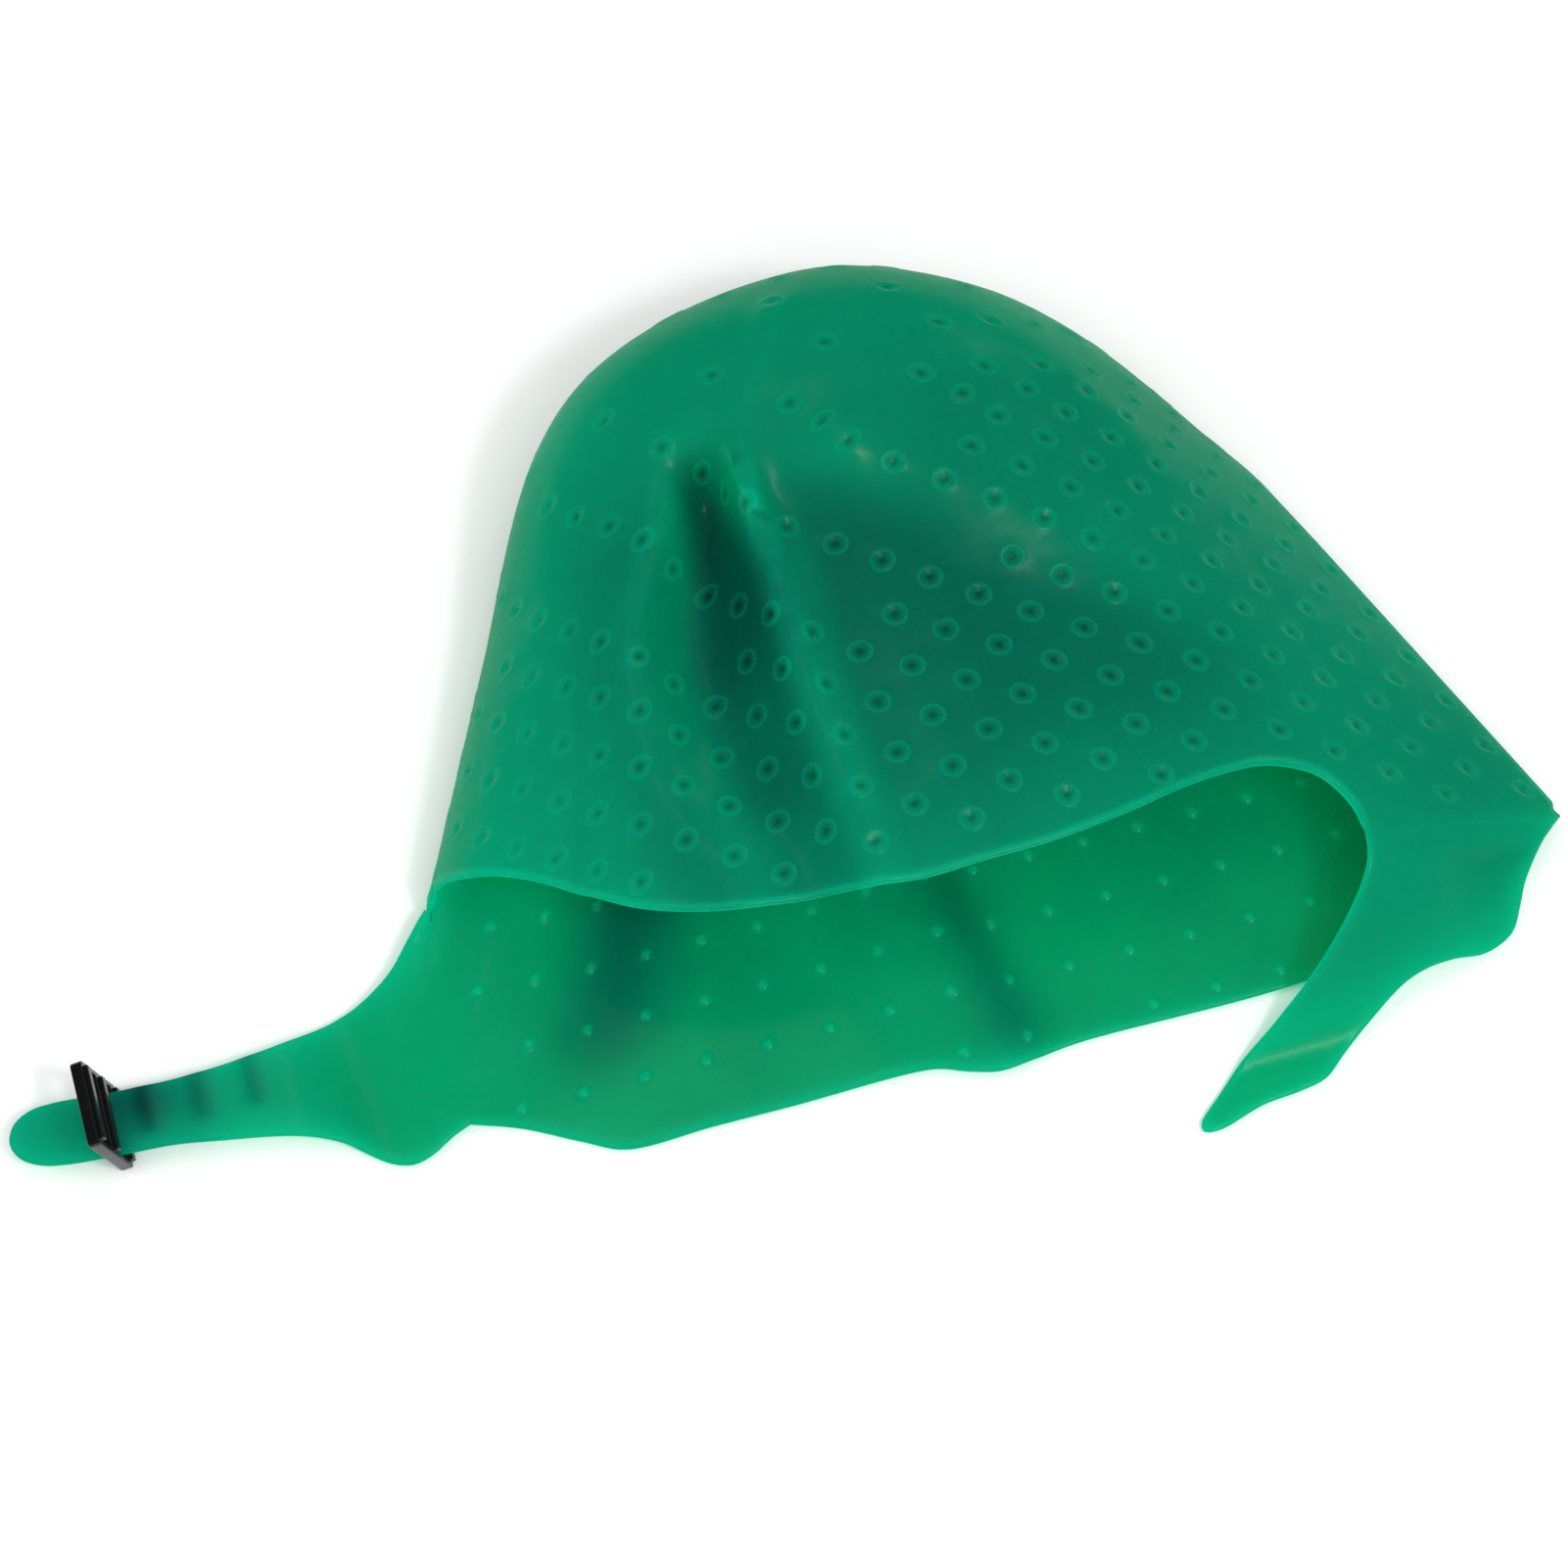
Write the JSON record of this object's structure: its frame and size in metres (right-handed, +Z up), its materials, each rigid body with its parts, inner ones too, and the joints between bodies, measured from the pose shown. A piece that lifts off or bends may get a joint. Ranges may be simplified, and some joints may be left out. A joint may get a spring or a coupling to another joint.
{
  "type": "highlighting cap",
  "caption": "Soft dimpled silicone hair highlighting cap lying half collapsed, open at the rim, with two chin straps and a slide buckle on one of them",
  "frame": {"origin": "On the table, under the middle of the whole object's bounding box", "axes": "+Z up from the table, +X from the buckle strap towards the tail strap's side along the longest extent, +Y from the cap's opening towards its crown"},
  "size_m": [0.3213, 0.188, 0.055],
  "materials": {
    "green_silicone": "smooth translucent green silicone with a soft gloss",
    "black_plastic": "black injection moulded plastic, semi gloss"
  },
  "bodies": {
    "cap": {"cap_shell": "green_silicone"},
    "buckle_side": {"buckle_strap": "green_silicone"},
    "tail_side": {"tail_strap": "green_silicone"},
    "buckle": {"strap_buckle": "black_plastic"}
  },
  "joints": [
    {"name": "buckle_strap_lift", "type": "hinge", "parent": "cap", "child": "buckle_side", "pos_m": [-0.0688, -0.0313, 0.0014], "axis": [0.034, 0.9994, 0], "range_deg": [0, 80]},
    {"name": "tail_strap_lift", "type": "hinge", "parent": "cap", "child": "tail_side", "pos_m": [0.1367, -0.0506, 0.0185], "axis": [-0.896, 0, 0.444], "range_deg": [0, 70]},
    {"name": "buckle_slide", "type": "slide", "parent": "buckle_side", "child": "buckle", "axis": [1, 0, 0], "range_m": [-0.012, 0.01]}
  ]
}
